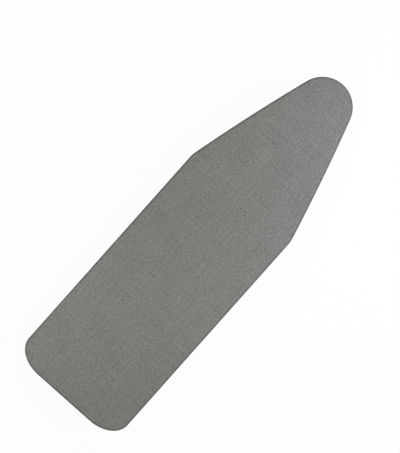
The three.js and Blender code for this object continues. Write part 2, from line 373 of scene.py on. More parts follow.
def yarns(tree, place, length, width, shift):
    """Uneven yarns along the cloth and across it."""
    warp = cloud(tree, scaled(tree, place, (length, width, 1), shift), detail=1)
    weft = cloud(tree, scaled(tree, place, (width, length, 1), shift[::-1]), detail=1)
    return math_node(tree, "ADD", warp, weft)


def cloth_material():
    """Plain weave with uneven yarns along and across, so that it shows a faint crosshatch, with painted
    shade in the gaps between threads.
    """
    made, tree, shader = material("grey_cotton", CLOTH_COLOUR, roughness=0.9, gloss=0.1)
    cut = cut_place(tree)
    yarn = yarns(tree, cut, *YARN)
    slubs = yarns(tree, cut, *SLUB)
    tone = cloud(tree, scaled(tree, cut, (TONE_SIZE, TONE_SIZE, 1), TONE_SHIFT))
    threads = yarns(tree, cut, *THREAD)
    # Where the threads cross: low in the gaps between threads, so the colour there takes painted shade;
    # the same waves give the relief
    crossings = scaled(tree, cut, (WEAVE_PITCH, WEAVE_PITCH, 1))
    weave = math_node(tree, "MULTIPLY", bands(tree, crossings, "X"), bands(tree, crossings, "Y"))
    mean = YARN_MEAN
    for more, share, more_mean in (
            (slubs, SLUB_SHARE, YARN_MEAN), (tone, TONE_SHARE, CLOUD_MEAN),
            (threads, THREAD_SHARE, YARN_MEAN), (weave, WEAVE_AND_GAP_SHADE_SHARE, WEAVE_MEAN)):
        yarn = math_node(tree, "ADD", yarn, math_node(tree, "MULTIPLY", more, share))
        mean += more_mean * share
    lightness = spread(tree, yarn, mean - CLOTH_SPREAD, mean + CLOTH_SPREAD)
    tint(tree, shader, lightness, CLOTH_COLOUR, CLOTH_CONTRAST)
    bump(tree, shader, math_node(tree, "ADD", weave, yarn), distance=0.15 * MM, strength=0.6)
    return made


# Fibres and cells with no direction
COARSE_STEP = 12
COARSE_SHIFT = (5, 9, 2)
FLECK_RANGE = (0.6, 1.4)


def fibre_material(name, colour, size, contrast, roughness=0.95, relief=0.3 * MM, sheen=0.1):
    """Foam, pile, thread or moulded hooks: short fibres or cells with no direction."""
    made, tree, shader = material(name, colour, roughness, sheen)
    place = object_place(tree)
    fine = cloud(tree, scaled(tree, place, [size] * 3), detail=4, roughness=0.65)
    coarse = cloud(tree, scaled(tree, place, [COARSE_STEP * size] * 3, COARSE_SHIFT))
    fleck = math_node(tree, "ADD", fine, coarse)
    tint(tree, shader, spread(tree, fleck, *FLECK_RANGE), colour, contrast)
    bump(tree, shader, fine, relief, strength=0.7)
    return made


# Felt: curled pale fibres in tufts, with a few dark strands among them
FELT_COLOUR = (0.69, 0.67, 0.62)
FELT_CONTRAST = 0.24
FIBRE_SIZE = 3 * MM
TUFT_SIZE = 25 * MM
TUFT_SHIFT = (5, 9, 2)
TUFT_SHARE = 0.3
TUFT_RANGE = (0.35, 0.95)
STRAND_SIZE = 2.2 * MM
STRAND_SHIFT = (1, 4, 8)
STRAND_RANGE = (0.66, 0.72)
STRAND_SHARE = 0.6
STRAND_COLOUR = (0.19, 0.2, 0.23)


def felt_material():
    """Needled felt of mixed fibres."""
    made, tree, shader = material("needled_felt", FELT_COLOUR, roughness=0.95, sheen=0.1)
    place = object_place(tree)
    fibres = cloud(tree, scaled(tree, place, [FIBRE_SIZE] * 3), detail=5, roughness=0.7, curl=2.5)
    tufts = cloud(tree, scaled(tree, place, [TUFT_SIZE] * 3, TUFT_SHIFT))
    pale = math_node(tree, "ADD", fibres, math_node(tree, "MULTIPLY", tufts, TUFT_SHARE))
    ground = tint(tree, shader, spread(tree, pale, *TUFT_RANGE), FELT_COLOUR, FELT_CONTRAST)
    strands = cloud(tree, scaled(tree, place, [STRAND_SIZE] * 3, STRAND_SHIFT), curl=4.0)
    dark = math_node(tree, "MULTIPLY", spread(tree, strands, *STRAND_RANGE), STRAND_SHARE)
    tree.links.new(mixed(tree, dark, ground, STRAND_COLOUR), shader.inputs["Base Color"])
    bump(tree, shader, fibres, distance=0.4 * MM, strength=0.8)
    return made


# Woven tape and webbing
CROSS_THREAD = 0.9 * MM
UNEVEN_SPOT = (4 * MM, 2 * MM, 1)
TAPE_RANGE = (0.3, 1.5)


def ribbed_material(name, colour, rib, contrast):
    """Woven tape or webbing: ribs along it, with fine threads across."""
    made, tree, shader = material(name, colour, roughness=0.85, sheen=0.1)
    cut = cut_place(tree)
    ribs = bands(tree, scaled(tree, cut, (rib, rib, 1)), "X")
    threads = bands(tree, scaled(tree, cut, (CROSS_THREAD, CROSS_THREAD, 1)), "Y")
    spots = cloud(tree, scaled(tree, cut, UNEVEN_SPOT), detail=3)
    weave = math_node(tree, "ADD", math_node(tree, "MULTIPLY", ribs, threads), spots)
    tint(tree, shader, spread(tree, weave, *TAPE_RANGE), colour, contrast)
    bump(tree, shader, weave, distance=0.15 * MM, strength=0.7)
    return made


def thread_material(name, colour):
    """Twisted sewing thread."""
    return fibre_material(name, colour, size=0.4 * MM, contrast=0.25, roughness=0.7, relief=0.05 * MM)


CLOTH = cloth_material()
FELT = felt_material()
FOAM = fibre_material("open_foam", (0.81, 0.77, 0.65), size=0.8 * MM, contrast=0.08)
TAPE = ribbed_material("hem_tape", (0.1, 0.1, 0.1), rib=1.5 * MM, contrast=0.25)
ELASTIC = ribbed_material("braided_elastic", (0.86, 0.85, 0.81), rib=1.1 * MM, contrast=0.06)
WEBBING = ribbed_material("strap_webbing", (0.024, 0.025, 0.027), rib=3 * MM, contrast=0.35)
HOOKS = fibre_material(
    "moulded_hooks", (0.013, 0.013, 0.014), size=0.5 * MM, contrast=0.3, roughness=0.5, relief=0.05 * MM)
LOOPS = fibre_material(
    "loop_pile", (0.016, 0.016, 0.017), size=0.7 * MM, contrast=0.6, roughness=0.97, relief=0.4 * MM,
    sheen=0.4)
GREY_THREAD = thread_material("grey_thread", (0.16, 0.16, 0.155))
DARK_THREAD = thread_material("dark_thread", (0.05, 0.05, 0.052))


def piece(name, points, faces, made_of, slot, cut=None):
    """A smooth mesh object; cut holds each point's place on the flat cloth."""
    mesh = bpy.data.meshes.new(name)
    mesh.from_pydata(np.asarray(points).tolist(), [], faces)
    mesh.shade_smooth()
    mesh.materials.append(made_of)
    place = np.asarray(points if cut is None else cut, dtype=np.float32)
    mesh.attributes.new("cut", "FLOAT_VECTOR", "POINT").data.foreach_set("vector", place.ravel())
    made = bpy.data.objects.new(name, mesh)
    bpy.context.scene.collection.objects.link(made)
    return made


def turn_outward(made):
    """Makes every face of a closed mesh look outward."""
    work = bmesh.new()
    work.from_mesh(made.data)
    bmesh.ops.recalc_face_normals(work, faces=work.faces)
    work.to_mesh(made.data)
    work.free()


def skin(row_count, count=RING_COUNT, closes=False):
    """Quads between rings of count points, each ring after the one inside or above it."""
    faces = []
    spans = row_count if closes else row_count - 1
    for row in range(spans):
        upper = row * count
        lower = (row + 1) % row_count * count
        for i in range(count):
            after = (i + 1) % count
            faces.append((upper + i, lower + i, lower + after, upper + after))
    return faces


# Grid points keep this share of the pitch from the border; the two other values are for the triangulation
FILL_CLEARANCE = 0.6
INSIDE_ONLY = 1
WELD_DISTANCE = 1e-7


def fill(border, pitch):
    """Points of a square grid inside a closed border, and the triangles that fill it."""
    low, high = border.min(0), border.max(0)
    columns, rows = np.arange(low[0], high[0], pitch), np.arange(low[1], high[1], pitch)
    grid = np.stack(np.meshgrid(columns, rows), -1).reshape(-1, 2)
    reach = np.linalg.norm(grid[:, None] - border[None], axis=2).min(1)
    edge = np.roll(border, -1, 0) - border
    side = edge[:, 0] * (grid[:, None, 1] - border[:, 1]) - edge[:, 1] * (grid[:, None, 0] - border[:, 0])
    inside = (side > 0).all(1) & (reach > FILL_CLEARANCE * pitch)
    points = np.concatenate([border, grid[inside]])
    loop = list(range(len(border)))
    made = delaunay_2d_cdt([tuple(p) for p in points], [], [loop], INSIDE_ONLY, WELD_DISTANCE)
    if len(made[0]) != len(points):
        raise RuntimeError("the fill added or dropped points")
    came_from = [found[0] for found in made[3]]
    return points[len(border):], [tuple(came_from[i] for i in face) for face in made[2]]


# The face cloth lies flat on the foam, softly lower towards its edge. It rolls over the edge into a side
# that leans out a little, and goes round and under
EDGE_SOFTNESS = 0.5 * MM
SOFT_REACH = 14 * MM
ROLL_RADIUS = 5.5 * MM
ROLL_END = math.radians(72)
WALL_RADIUS = 45 * MM
EDGE_WIDTH = ROLL_RADIUS * math.sin(ROLL_END) + WALL_RADIUS * (1 - math.sin(ROLL_END))
EDGE_DEPTH = ROLL_RADIUS * (1 - math.cos(ROLL_END)) + WALL_RADIUS * math.cos(ROLL_END)
WIDEST_Z = FACE_TOP - EDGE_SOFTNESS - EDGE_DEPTH
UNEVEN = 0.25 * MM
UNEVEN_PITCH = 0.12
SIDE_DRAW = 1 * MM
UNDER_REACH = 18 * MM

# Rows of the cloth's mesh, from the flat top, which a square grid fills, to the hemmed edge
TOP_INSETS = np.array([60, 48, 38, 30, 24, 19, 15, 12, 9.5]) * MM
FLAT_INSET = TOP_INSETS[0]
TOP_PITCH = 14 * MM
EDGE_STEPS = 8
WALL_STEPS = 5
SIDE_ROWS = 4
MARGIN_ROWS = 11


def top_height(inset):
    """Height of the padded top at an inset, without its unevenness."""
    return FACE_TOP - EDGE_SOFTNESS * math.exp((EDGE_WIDTH - inset) / SOFT_REACH)


def uneven(points):
    """How far the padded top lies below flat, as a height of zero or less."""
    heights = [noise.noise((x / UNEVEN_PITCH, y / UNEVEN_PITCH, SEED)) for x, y in points]
    return UNEVEN * (np.array(heights) - 1) / 2


def cloth_section():
    """Inset and height from the flat top round to the hemmed edge."""
    section = [(inset, top_height(inset)) for inset in TOP_INSETS]
    for t in np.linspace(0, ROLL_END, EDGE_STEPS + 1):
        section.append((EDGE_WIDTH - ROLL_RADIUS * math.sin(t),
                        FACE_TOP - EDGE_SOFTNESS - ROLL_RADIUS * (1 - math.cos(t))))
    for t in np.linspace(ROLL_END, math.pi / 2, WALL_STEPS + 1)[1:]:
        section.append((WALL_RADIUS * (1 - math.sin(t)), WIDEST_Z + WALL_RADIUS * math.cos(t)))
    side_low = TURN_BOTTOM + BOTTOM_EDGE_RADIUS
    section += [(0.0, WIDEST_Z + (side_low - WIDEST_Z) * row / SIDE_ROWS) for row in range(1, SIDE_ROWS)]
    for t in np.linspace(0, math.pi / 2, EDGE_STEPS + 1):
        section.append((BOTTOM_EDGE_RADIUS * (1 - math.cos(t)),
                        side_low - BOTTOM_EDGE_RADIUS * math.sin(t)))
    margin = np.linspace(BOTTOM_EDGE_RADIUS, FABRIC_EDGE, MARGIN_ROWS + 1)[1:]
    return section + [(inset, TURN_BOTTOM) for inset in margin]


def gathered(inset, z, inward, side, under, held):
    """One row of the cloth, drawn in at its creases; side, under and held say how far round it lies."""
    share = GATHER_CLIMB * side + (1 - GATHER_CLIMB) * under
    drawn = share * (GATHER * (1 - held) + HEM_RIPPLE * held)
    place = ring(inset)
    if drawn.any():
        towards = (ring(inset + SIDE_DRAW) - place) / SIDE_DRAW
        place = place + towards * (inward[0] * drawn)[:, None]
        place = place + along_ring(place) * (GATHER_LEAN * drawn * (1 - held))[:, None]
    return at_height(place, z + inward[1] * drawn)


def face_cloth():
    """The cloth from its flat top to its hemmed edge, with each point's place on the flat cut."""
    section = np.array(cloth_section())
    way = np.diff(section, axis=0)
    used = np.concatenate([[0], np.cumsum(np.hypot(*way.T))])
    flat_insets = section[0, 0] - used * (section[0, 0] + TURN_ALLOWANCE) / used[-1]
    slope = np.gradient(section, used, axis=0)
    slope /= np.linalg.norm(slope, axis=1)[:, None]
    side_top = used[np.argmin(section[:, 0])]
    side_end = side_top + WIDEST_Z - TURN_BOTTOM - BOTTOM_EDGE_RADIUS
    mouth = used[-1] - TAPE_LAP
    rows, cuts = [], []
    for (inset, z), (along, down), run, flat_inset in zip(section, slope, used, flat_insets):
        side = smooth_step(side_top, side_end, run)
        under = smooth_step(side_end, side_end + UNDER_REACH, run)
        held = smooth_step(mouth - HEM_HOLD, mouth, run)
        row = gathered(inset, z, (-down, along), side, under, held)
        if run < side_top:
            row[:, 2] += smooth_step(EDGE_WIDTH, FLAT_INSET, inset) * uneven(row[:, :2])
        rows.append(row)
        cuts.append(at_height(ring(flat_inset), 0))
    grid, triangles = fill(ring(FLAT_INSET), TOP_PITCH)
    points = np.concatenate([*rows, at_height(grid, top_height(FLAT_INSET) + uneven(grid))])
    cut = np.concatenate([*cuts, at_height(grid, 0)])
    last = (len(rows) - 1) * RING_COUNT
    inner = [tuple(i if i < RING_COUNT else i + last for i in face) for face in triangles]
    made = piece("face_cloth", points, skin(len(rows)) + inner, CLOTH, "face_cloth", cut)
    thick = made.modifiers.new("thickness", "SOLIDIFY")
    thick.thickness = CLOTH_THICKNESS
    thick.offset = -1
    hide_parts("face_fabric")
    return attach(made, "cover")


# The two pads under the cloth; a pad's upper edge lies further in than its lower one by its slope
PAD_PITCH = 16 * MM
PAD_CLEARANCE = 0.8 * MM
PAD_ROUNDING = 0.3
FOAM_SLOPE = 4 * PAD_CLEARANCE
FELT_SLOPE = PAD_CLEARANCE
FELT_BULGE = 0.3 * MM
BULGES_PER_METRE = 45
BULGE_SEED = SEED + 3

# How far in a pad's inner rows lie, and the share of a rounded edge that is cut off at its middle
PAD_ROWS = (6 * MM, 30 * MM)
ROUND_MIDDLE = 0.3


def bulge(points):
    """Small unevenness of a pad's underside, from 0 to 1."""
    places = points[:, :2] * BULGES_PER_METRE
    return np.array([0.5 + 0.5 * noise.noise((x, y, BULGE_SEED)) for x, y in places])


def pad(name, node, low, high, slope, made_of, slot, relief):
    """A pad that fills its layer, with rounded edges and a slightly uneven underside."""
    edge = HALF_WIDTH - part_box(node)[1].y + PAD_CLEARANCE
    upper_edge = edge + slope
    round_edge = PAD_ROUNDING * (high - low)
    cut_in = ROUND_MIDDLE * round_edge
    section = [(upper_edge + row, high) for row in PAD_ROWS[::-1]]
    section += [
        (upper_edge + round_edge, high), (upper_edge + cut_in, high - cut_in),
        (upper_edge, high - round_edge), (edge, low + round_edge),
        (edge + cut_in, low + cut_in), (edge + round_edge, low)]
    section += [(edge + row, low) for row in PAD_ROWS]
    rows = [at_height(ring(inset), z) for inset, z in section]
    rows[-1][:, 2] += relief * bulge(rows[-1])
    top, top_faces = fill(ring(section[0][0]), PAD_PITCH)
    base, base_faces = fill(ring(section[-1][0]), PAD_PITCH)
    base = at_height(base, low)
    base[:, 2] += relief * bulge(base)
    last = (len(rows) - 1) * RING_COUNT
    base_start = last + len(top)
    faces = skin(len(rows))
    faces += [tuple(i if i < RING_COUNT else i + last for i in f) for f in top_faces]
    faces += [tuple(i + (last if i < RING_COUNT else base_start) for i in f[::-1]) for f in base_faces]
    made = piece(name, np.concatenate([*rows, at_height(top, high), base]), faces, made_of, slot)
    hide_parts(node)
    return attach(made, "cover")


# The hem: tape folded over the cloth's edge, elastic in its fold, and a row of stitches
FOLD_POINTS = 9
LEAF_POINTS = 6
ELASTIC_ROUNDING = 0.3 * MM


def ring_band(name, section, made_of, slot, node):
    """A closed band round the hem; section holds inset and height, and goes round once."""
    rows = [at_height(ring(inset), z + HEM_RIPPLE) for inset, z in section]
    length = np.concatenate([[0], np.cumsum(steps(ring(HEM_MOUTH)))])[:-1]
    cuts = []
    across = 0.0
    for i, (inset, z) in enumerate(section):
        if i:
            across += math.hypot(inset - section[i - 1][0], z - section[i - 1][1])
        cuts.append(np.column_stack([np.full(RING_COUNT, across), length, np.zeros(RING_COUNT)]))
    faces = skin(len(rows), closes=True)
    made = piece(name, np.concatenate(rows), faces, made_of, slot, np.concatenate(cuts))
    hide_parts(node)
    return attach(made, "cover")


def hem_tape():
    """Tape in a U that opens outward, with the cloth's edge between its leaves."""
    low, high = HEM_LOW.z, HEM_HIGH.z
    middle = (low + high) / 2
    outer = (high - low) / 2
    inner = outer - TAPE_THICKNESS
    turn_at = HEM_FOLD - outer
    half_turn = np.linspace(-math.pi / 2, math.pi / 2, FOLD_POINTS)
    leaf = np.linspace(HEM_MOUTH, turn_at, LEAF_POINTS)[:-1]
    outside = [(inset, low) for inset in leaf]
    outside += [(turn_at + outer * math.cos(t), middle + outer * math.sin(t)) for t in half_turn]
    outside += [(inset, high) for inset in leaf[::-1]]
    inside = [(inset, middle + inner) for inset in leaf]
    inside += [(turn_at + inner * math.cos(t), middle - inner * math.sin(t)) for t in half_turn]
    inside += [(inset, middle - inner) for inset in leaf[::-1]]
    return ring_band("hem_tape", outside + inside, TAPE, "binding_tape", "hem_binding")


def hem_elastic():
    """Flat elastic with soft edges, in the fold of the tape."""
    low, high = ELASTIC_LOW.z, ELASTIC_HIGH.z
    inner = ELASTIC_OUTER + ELASTIC_WIDTH
    soft = ELASTIC_ROUNDING
    section = [
        (ELASTIC_OUTER + soft, low), (inner - soft, low), (inner, low + soft), (inner, high - soft),
        (inner - soft, high), (ELASTIC_OUTER + soft, high), (ELASTIC_OUTER, high - soft),
        (ELASTIC_OUTER, low + soft),
    ]
    return ring_band("hem_elastic", section, ELASTIC, "elastic", "edge_elastic")


# Stitches: each one is a bent length of thread; its swell pairs places along it with thicknesses
STITCH_PITCH = 3.4 * MM
STITCH_LENGTH = 2.9 * MM
STITCH_SWELL = ((-0.36, 0.85), (0, 1.1), (0.36, 0.85))
STITCH_SPAN = 0.4 * STITCH_LENGTH
THREAD_RADIUS = 0.28 * MM
THREAD_SIDES = 5
HEM_SEAM = 2.2 * MM


def one_stitch():
    """Points and faces of a stitch along x at the origin."""
    turn = np.arange(THREAD_SIDES) * 2 * math.pi / THREAD_SIDES
    circle = np.stack([np.cos(turn), np.sin(turn)], 1) * THREAD_RADIUS
    points = [np.array([[-0.5 * STITCH_LENGTH, 0, -THREAD_RADIUS]])]
    for along, size in STITCH_SWELL:
        points.append(np.column_stack([np.full(THREAD_SIDES, along * STITCH_LENGTH), size * circle]))
    points.append(np.array([[0.5 * STITCH_LENGTH, 0, -THREAD_RADIUS]]))
    points = np.concatenate(points)
    last = len(points) - 1
    last_ring = last - THREAD_SIDES
    faces = []
    for i in range(THREAD_SIDES):
        after = (i + 1) % THREAD_SIDES
        faces.append((0, 1 + after, 1 + i))
        for near in range(1, last_ring, THREAD_SIDES):
            far = near + THREAD_SIDES
            faces.append((near + i, near + after, far + after, far + i))
        faces.append((last, last_ring + i, last_ring + after))
    return points, faces


def stitches(paths):
    """Points and faces of thread laid in stitches along paths of 3-D points, each with its own up."""
    shape, faces = one_stitch()
    all_points, all_faces = [], []
    for path, up in paths:
        path = np.asarray(path)
        way = np.concatenate([[0], np.cumsum(np.linalg.norm(np.diff(path, axis=0), axis=1))])
        count = max(1, round(way[-1] / STITCH_PITCH))
        for k in range(count):
            middle = (k + 0.5) * way[-1] / count
            back, here, front = (
                np.array([np.interp(middle + d, way, path[:, axis]) for axis in range(3)])
                for d in (-STITCH_SPAN, 0, STITCH_SPAN))
            ahead = front - back
            ahead /= np.linalg.norm(ahead)
            beside = np.cross(up, ahead)
            beside /= np.linalg.norm(beside)
            start = len(all_points) * len(shape)
            all_points.append(here + shape @ np.stack([ahead, beside, np.cross(ahead, beside)]))
            all_faces += [tuple(start + i for i in face) for face in faces]
    return np.concatenate(all_points), all_faces


def thread(name, paths, made_of, slot, body):
    """Stitches along some paths as one piece."""
    made = piece(name, *stitches(paths), made_of, slot)
    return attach(made, body)


def hem_thread():
    """One row of stitches through the tape, near its open edge, seen on both leaves."""
    place = ring(HEM_MOUTH + HEM_SEAM)
    paths = []
    for z, up in ((HEM_LOW.z, DOWN), (HEM_HIGH.z, UP)):
        loop = at_height(place, z + HEM_RIPPLE)
        paths.append((np.concatenate([loop, loop[:1]]), up))
    return thread("hem_thread", paths, GREY_THREAD, "binding_tape", "cover")


# Webbing: ribs along it and thin selvedges
STRAP_TIP_RADIUS = 5 * MM
RIBS = 8
RIB_HEIGHT = 0.1 * MM
COLUMNS_PER_RIB = 4
SELVEDGE_SHARE = 0.06
SELVEDGE_THIN = 0.9


def webbing(name, x, path, half_width, thickness, round_tip):
    """Ribbed webbing along a path of y and z, with its far corners rounded if asked."""
    path = np.asarray(path)
    ahead = np.gradient(path, axis=0)
    ahead /= np.linalg.norm(ahead, axis=1)[:, None]
    upward = np.stack([-ahead[:, 1], ahead[:, 0]], 1) * np.sign(ahead[:, :1])
    way = np.concatenate([[0], np.cumsum(np.linalg.norm(np.diff(path, axis=0), axis=1))])
    columns = np.linspace(-1, 1, RIBS * COLUMNS_PER_RIB + 1)
    ribs = 0.5 - 0.5 * np.cos(2 * math.pi * RIBS * (columns + 1) / 2)
    edge = np.clip((np.abs(columns) - (1 - SELVEDGE_SHARE)) / SELVEDGE_SHARE, 0, 1)
    swell = (0.5 * thickness - RIB_HEIGHT + RIB_HEIGHT * ribs) * np.sqrt(1 - SELVEDGE_THIN * edge ** 2)
    loop_x = np.concatenate([columns, columns[::-1]])
    loop_up = np.concatenate([swell, -swell[::-1]])
    points, cut = [], []
    for (y, z), (up_y, up_z), run in zip(path, upward, way):
        left = way[-1] - run
        width = half_width
        if round_tip and left < STRAP_TIP_RADIUS:
            short = STRAP_TIP_RADIUS - left
            width -= STRAP_TIP_RADIUS - math.sqrt(STRAP_TIP_RADIUS ** 2 - short ** 2)
        points.append(np.stack([x + loop_x * width, y + loop_up * up_y, z + loop_up * up_z], 1))
        cut.append(np.column_stack([loop_x * half_width, np.full(len(loop_x), run), loop_up]))
    count = len(loop_x)
    faces = skin(len(path), count)
    last = (len(path) - 1) * count
    for j in range(count // 2 - 1):
        faces.append((j, j + 1, count - 2 - j, count - 1 - j))
        faces.append((last + j + 1, last + j, last + count - 1 - j, last + count - 2 - j))
    return piece(name, np.concatenate(points), faces, WEBBING, "webbing", np.concatenate(cut))


def evenly(start, end, pitch):
    """Even steps of about this pitch, both ends among them."""
    return np.linspace(start, end, max(2, round(abs(end - start) / pitch) + 1))


# Patches of hook and loop tape
PATCH_PITCH = 1 * MM
PATCH_EDGE = 1.5 * MM
EDGE_DROP = 0.25
GRAINS_PER_METRE = 900
SEWN_SINK = 0.05 * MM
HOOK_TAPE = 0.2 * MM
HOOK_TAPE_RELIEF = 0.05 * MM
PILE_DROP = 0.1 * MM
PILE_RELIEF = 0.5 * MM


def patch_slab(low, high, rough_up, relief):
    """Points and faces of a sewn patch with soft edges; the face that grips is rough."""
    xs = evenly(low.x, high.x, PATCH_PITCH)
    ys = evenly(low.y, high.y, PATCH_PITCH)
    edge_drop = EDGE_DROP * (high.z - low.z)
    points, faces = [], []
    for upper in (False, True):
        start = len(points)
        inward = -1 if upper else 1
        for y in ys:
            for x in xs:
                near = min(x - low.x, high.x - x, y - low.y, high.y - y)
                z = high.z if upper else low.z
                z += inward * edge_drop * (1 - smooth_step(0, PATCH_EDGE, near))
                if upper == rough_up:
                    grain = noise.noise((x * GRAINS_PER_METRE, y * GRAINS_PER_METRE, SEED))
                    z += inward * relief * (0.5 + 0.5 * grain)
                points.append((x, y, z))
        for row in range(len(ys) - 1):
            for column in range(len(xs) - 1):
                i = start + row * len(xs) + column
                quad = (i, i + 1, i + 1 + len(xs), i + len(xs))
                faces.append(quad if upper else quad[::-1])
    count = len(xs) * len(ys)
    border = list(range(len(xs)))
    border += [r * len(xs) + len(xs) - 1 for r in range(1, len(ys))]
    border += [count - 2 - c for c in range(len(xs) - 1)]
    border += [r * len(xs) for r in range(len(ys) - 2, 0, -1)]
    for i, here in enumerate(border):
        after = border[(i + 1) % len(border)]
        faces.append((here, after, after + count, here + count))
    return points, faces


def joined(*parts):
    """Several lots of points and faces as one."""
    points, faces = [], []
    for more_points, more_faces in parts:
        start = len(points)
        points += [tuple(p) for p in more_points]
        faces += [tuple(start + i for i in face) for face in more_faces]
    return points, faces


# Hooks: a square stem that bends over; its path is in shares of the lean and the rise
HOOK_PITCH = 1.5 * MM
HOOK_SIZE = 0.22 * MM
HOOK_PATH = np.array([(0, -0.15), (0, 0.55), (0.3, 0.95), (0.7, 0.95), (1.0, 0.6)])
HOOK_TAPER = (1, 0.9, 0.8, 0.7, 0.45)
HOOK_LEAN = 0.4 * HOOK_PITCH
HOOK_JITTER = 0.1 * MM
HOOK_BORDER = 1.4 * MM
HOOK_CLEARANCE = 0.35 * MM
HOOK_SEED = SEED + 1


def one_hook(rise, lean):
    """Points and faces of one bent hook at the origin; it leans over along y."""
    path = HOOK_PATH * (lean, rise)
    ahead = np.gradient(path, axis=0)
    ahead /= np.linalg.norm(ahead, axis=1)[:, None]
    points = []
    for (y, z), (way_y, way_z), share in zip(path, ahead, HOOK_TAPER):
        size = share * HOOK_SIZE
        for a, b in SQUARE:
            points.append((a * size, y + b * size * way_z, z - b * size * way_y))
    sides = len(SQUARE)
    last = len(points) - sides
    faces = [tuple(range(sides))[::-1]]
    for near in range(0, last, sides):
        far = near + sides
        for i in range(sides):
            after = (i + 1) % sides
            faces.append((near + i, near + after, far + after, far + i))
    faces.append(tuple(range(last, last + sides)))
    return np.array(points), faces


def hook_rows(low, high, top):
    """Rows of hooks on a patch, one row leaning this way and the next that way."""
    rng = np.random.default_rng(HOOK_SEED)
    xs = np.arange(low.x + HOOK_BORDER, high.x - HOOK_BORDER, HOOK_PITCH)
    ys = np.arange(low.y + HOOK_BORDER, high.y - HOOK_BORDER, HOOK_PITCH)
    parts = []
    for row, y in enumerate(ys):
        points, faces = one_hook(top - high.z, HOOK_LEAN * (1 if row % 2 else -1))
        for x in xs:
            shift = rng.uniform(-HOOK_JITTER, HOOK_JITTER, 2)
            parts.append((points + (x + shift[0], y + shift[1], high.z), faces))
    return joined(*parts)


# Straps: rows of their mesh, the bend at the hem, and the step of the loop tab
STRAP_ROWS = 3 * MM
TIP_POINTS = 9
BEND_BEFORE = 2 * MM
BEND_AFTER = 9 * MM
BEND_ROWS = 1 * MM
BEND_REACH = 2
TAB_BEND_IN = 1.2 * MM
TAB_STEP = 4 * MM
TAB_STEP_BEFORE = 1.5 * MM
TAB_STEP_AFTER = 0.5 * MM
TAB_FINE_ROWS = 0.7 * MM
TAB_FINE_REACH = 3 * MM

# Seams of the straps
SEAM_BORDER = 2.5 * MM
TAB_SEAM_GAP = 3.5 * MM
PATCH_SEAM = 1 * MM


def strap_band(body, x, half, thickness, middle):
    """The webbing from its sewn end to its rounded tip, with closer rows where it leaves the hem."""
    sewn_low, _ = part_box(f"{body}_sewn_end")
    _, web_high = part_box(f"{body}_webbing")
    hinge = next(j for j in frame["joints"] if j["name"] == f"{body}_fold")["pos_m"]
    near = hinge[1] - BEND_REACH * BEND_BEFORE
    far = hinge[1] + BEND_REACH * BEND_AFTER
    ys = np.concatenate([
        evenly(sewn_low.y, near, STRAP_ROWS)[:-1],
        evenly(near, far, BEND_ROWS)[:-1],
        evenly(far, web_high.y - STRAP_TIP_RADIUS, STRAP_ROWS)[:-1],
        web_high.y - STRAP_TIP_RADIUS * (1 - np.sin(np.linspace(0, math.pi / 2, TIP_POINTS)))])
    web = webbing(f"{body}_band", x, [(y, middle) for y in ys], half, thickness, True)
    turn_outward(web)
    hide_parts(f"{body}_sewn_end", f"{body}_webbing")
    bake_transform(web)


def hook_patch(body):
    """A thin tape with rows of hooks, on the strap's free end."""
    _, web_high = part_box(f"{body}_webbing")
    hook_low, hook_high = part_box(f"{body}_hook_patch")
    loop_low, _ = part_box(f"{body}_loop_patch")
    base, top = hook_low.copy(), hook_high.copy()
    base.z = web_high.z - SEWN_SINK
    top.z = hook_low.z + HOOK_TAPE
    slab = patch_slab(base, top, True, HOOK_TAPE_RELIEF)
    hooks = hook_rows(base, top, loop_low.z - HOOK_CLEARANCE)
    hook = piece(f"{body}_hooks", *joined(slab, hooks), HOOKS, "hook_tape")
    turn_outward(hook)
    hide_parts(f"{body}_hook_patch")
    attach(hook, body)


def tab_bend(body):
    """Where across the cover the loop tab starts to step up."""
    return -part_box(f"{body}_sewn_end")[1].y - TAB_BEND_IN


def loop_tab(body, x, half, thickness, middle):
    """Webbing sewn under the hem, which steps up to lie over the strap's end."""
    tab_low, tab_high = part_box(f"{body}_loop_tab")
    lift = tab_high.z - thickness / 2
    bend_y = tab_bend(body)
    level_y = bend_y - TAB_STEP
    fine_start = bend_y + TAB_FINE_REACH
    fine_end = level_y - TAB_FINE_REACH
    ys = np.concatenate([
        evenly(tab_high.y, fine_start, STRAP_ROWS)[:-1],
        evenly(fine_start, fine_end, TAB_FINE_ROWS)[:-1],
        evenly(fine_end, tab_low.y, STRAP_ROWS)])
    rise = smooth_step(bend_y + TAB_STEP_BEFORE, level_y - TAB_STEP_AFTER, ys)
    path = np.column_stack([ys, middle + (lift - middle) * rise])
    tab = webbing(f"{body}_tab", x, path, half, thickness, False)
    turn_outward(tab)
    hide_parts(f"{body}_loop_tab")
    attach(tab, "cover")


def loop_patch(body, thickness):
    """The brushed patch on the underside of the tab."""
    _, tab_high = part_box(f"{body}_loop_tab")
    loop_low, loop_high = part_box(f"{body}_loop_patch")
    base, top = loop_low.copy(), loop_high.copy()
    base.z = loop_low.z - PILE_DROP
    top.z = tab_high.z - thickness + SEWN_SINK
    loop = piece(f"{body}_loops", *patch_slab(base, top, False, PILE_RELIEF), LOOPS, "loop_tape")
    turn_outward(loop)
    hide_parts(f"{body}_loop_patch")
    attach(loop, "cover")


def box_path(x0, y0, x1, y1, z, crossed):
    """A sewn rectangle, with a cross in it if asked."""
    corners = [(x0, y0, z), (x1, y0, z), (x1, y1, z), (x0, y1, z)]
    paths = [list(side) for side in zip(corners, corners[1:] + corners[:1])]
    if crossed:
        paths += [[corners[0], corners[2]], [corners[1], corners[3]]]
    return paths


